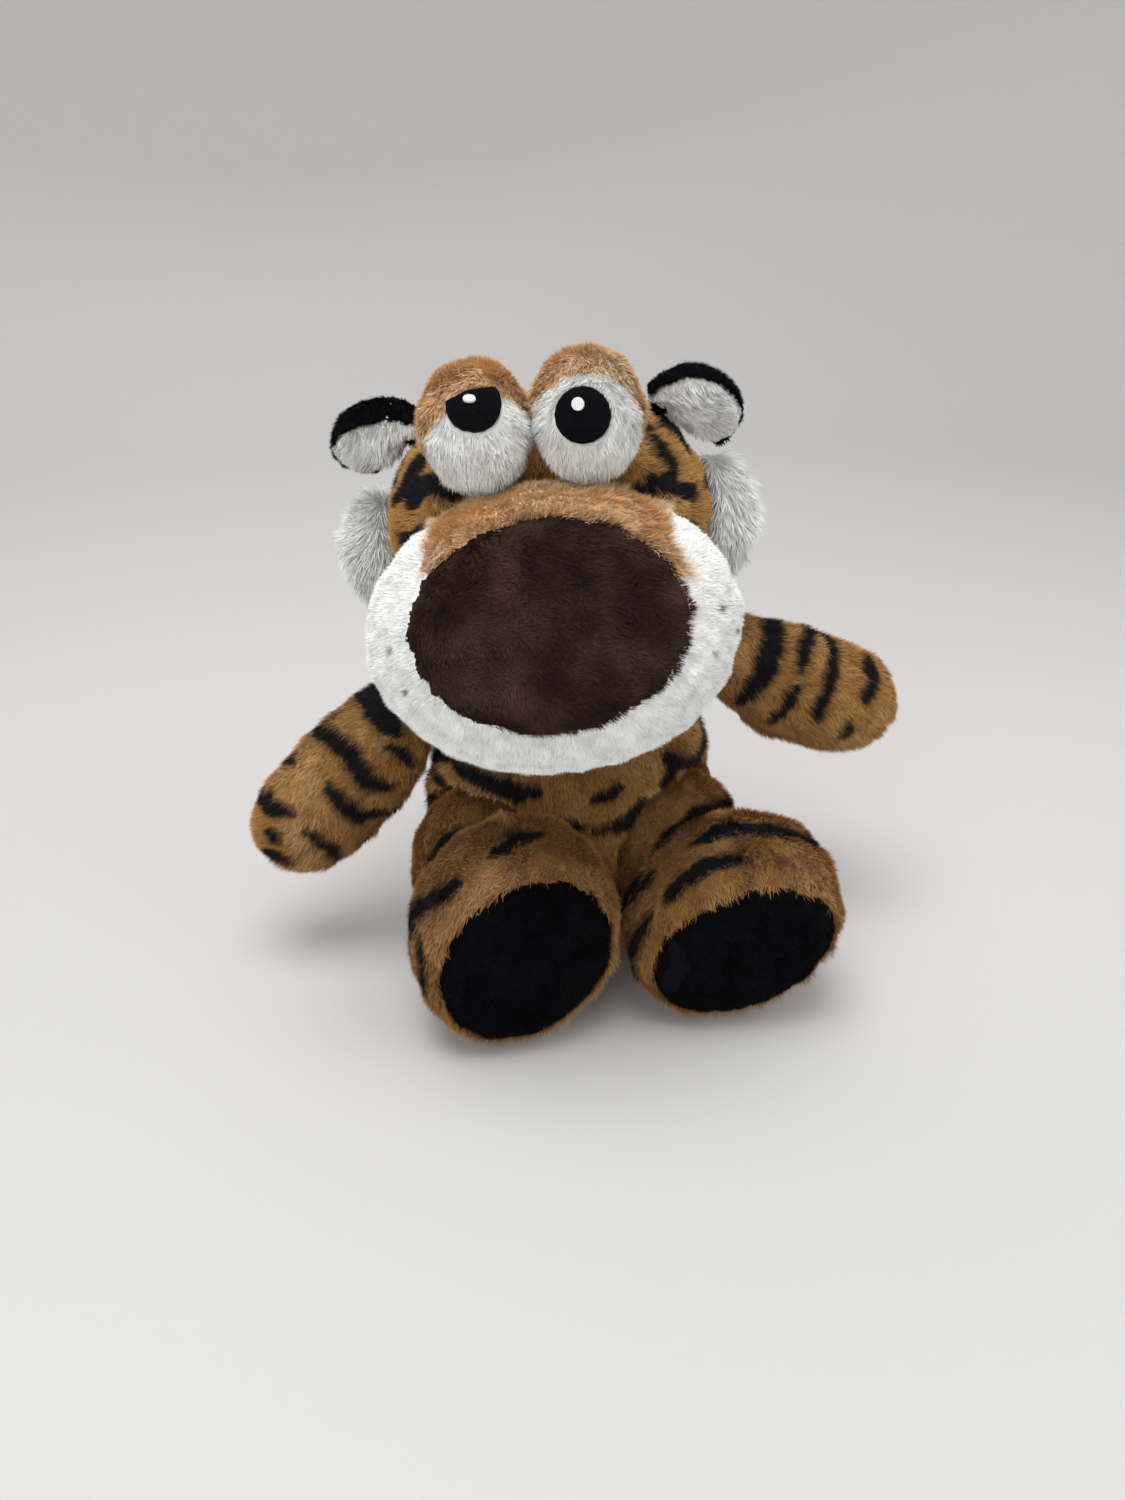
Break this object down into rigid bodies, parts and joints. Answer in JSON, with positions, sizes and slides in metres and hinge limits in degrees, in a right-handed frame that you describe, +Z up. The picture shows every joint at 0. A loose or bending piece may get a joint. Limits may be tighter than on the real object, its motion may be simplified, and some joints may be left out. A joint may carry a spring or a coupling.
{
  "type": "plush tiger",
  "caption": "Seated plush tiger with a broad muzzle, bulging eyes, spread limbs and a bean-weighted seat; head, limbs, ears and tail swing at their seams.",
  "frame": {"origin": "the middle of the bounding box's base, on the surface the toy sits on", "axes": "+Z up, -Y the way the toy looks, +X the toy's own left side"},
  "size_m": [0.246, 0.2155, 0.2299],
  "materials": {
    "tiger_plush": "short-pile plush, orange tan with black stripes",
    "white_plush": "short-pile plush, bright white",
    "tan_plush": "short-pile plush, golden tan",
    "brown_plush": "short-pile plush, chocolate brown",
    "black_plush": "short-pile plush, black",
    "white_long_fur": "long-pile fur, white",
    "black_thread": "satin-stitch embroidery, black",
    "white_thread": "satin-stitch embroidery, white",
    "fibre_fill": "loose polyester fibre",
    "pouch_cloth": "woven cloth pouch filled with plastic pellets"
  },
  "bodies": {
    "torso": {"pellet_pouch": "pouch_cloth", "torso_back_left_panel": "tiger_plush", "torso_back_right_panel": "tiger_plush", "torso_front_left_panel": "tiger_plush", "torso_front_right_panel": "tiger_plush", "torso_stuffing": "fibre_fill"},
    "neck": {"neck_wad": "fibre_fill"},
    "head": {"head_left_panel": "tiger_plush", "head_right_panel": "tiger_plush", "head_stuffing": "fibre_fill", "left_cheek_ruff": "white_long_fur", "left_eye_panel": "white_plush", "left_eye_stuffing": "fibre_fill", "left_eyelid": "tan_plush", "left_glint": "white_thread", "left_pupil": "black_thread", "muzzle_bridge_panel": "tan_plush", "muzzle_left_panel": "white_plush", "muzzle_right_panel": "white_plush", "muzzle_stuffing": "fibre_fill", "nose_panel": "brown_plush", "right_cheek_ruff": "white_long_fur", "right_eye_panel": "white_plush", "right_eye_stuffing": "fibre_fill", "right_eyelid": "tan_plush", "right_glint": "white_thread", "right_pupil": "black_thread"},
    "right_ear": {"right_ear_back": "black_plush", "right_ear_lining": "white_plush"},
    "left_ear": {"left_ear_back": "black_plush", "left_ear_lining": "white_plush"},
    "right_arm": {"right_arm_lower_panel": "tiger_plush", "right_arm_stuffing": "fibre_fill", "right_arm_upper_panel": "tiger_plush"},
    "left_arm": {"left_arm_lower_panel": "tiger_plush", "left_arm_stuffing": "fibre_fill", "left_arm_upper_panel": "tiger_plush"},
    "right_leg": {"right_leg_inner_panel": "tiger_plush", "right_leg_outer_panel": "tiger_plush", "right_leg_stuffing": "fibre_fill", "right_sole_pad": "black_plush"},
    "left_leg": {"left_leg_inner_panel": "tiger_plush", "left_leg_outer_panel": "tiger_plush", "left_leg_stuffing": "fibre_fill", "left_sole_pad": "black_plush"},
    "tail": {"tail_sleeve": "tiger_plush", "tail_stuffing": "fibre_fill", "tail_tip": "black_plush"}
  },
  "joints": [
    {"name": "neck_turn", "type": "hinge", "parent": "torso", "child": "neck", "pos_m": [-0.00585, -0.00077, 0.116], "axis": [0, 0, 1], "range_deg": [-20, 20], "stiffness_Nm_per_rad": 0.35},
    {"name": "head_nod", "type": "hinge", "parent": "neck", "child": "head", "pos_m": [-0.00585, -0.00077, 0.116], "axis": [0.9945, 0, 0.1045], "range_deg": [-16, 10], "stiffness_Nm_per_rad": 0.6, "springref_deg": -3.15},
    {"name": "right_shoulder", "type": "hinge", "parent": "torso", "child": "right_arm", "pos_m": [-0.04911, -0.00763, 0.111], "axis": [-0.1564, 0.9877, 0], "range_deg": [0, 35], "stiffness_Nm_per_rad": 0.05, "springref_deg": 3.44},
    {"name": "left_shoulder", "type": "hinge", "parent": "torso", "child": "left_arm", "pos_m": [0.03899, 0.00633, 0.117], "axis": [0.1564, -0.9877, 0], "range_deg": [-20, 20], "stiffness_Nm_per_rad": 0.05, "springref_deg": 5.73},
    {"name": "right_hip", "type": "hinge", "parent": "torso", "child": "right_leg", "pos_m": [-0.03425, -0.0235, 0.0448], "axis": [0, 0, -1], "range_deg": [0, 30], "stiffness_Nm_per_rad": 0.2},
    {"name": "left_hip", "type": "hinge", "parent": "torso", "child": "left_leg", "pos_m": [0.03292, -0.01286, 0.0476], "axis": [0, 0, 1], "range_deg": [0, 30], "stiffness_Nm_per_rad": 0.2},
    {"name": "tail_root", "type": "hinge", "parent": "torso", "child": "tail", "pos_m": [-0.00989, 0.04009, 0.02], "axis": [0.9877, 0.1564, 0], "range_deg": [-8, 20], "stiffness_Nm_per_rad": 0.02},
    {"name": "right_ear_root", "type": "hinge", "parent": "head", "child": "right_ear", "pos_m": [-0.05596, -0.00577, 0.1957], "axis": [0, 1, 0], "range_deg": [-15, 25], "stiffness_Nm_per_rad": 0.006},
    {"name": "left_ear_root", "type": "hinge", "parent": "head", "child": "left_ear", "pos_m": [0.0249, -0.00577, 0.2042], "axis": [0, -1, 0], "range_deg": [-15, 25], "stiffness_Nm_per_rad": 0.006}
  ]
}
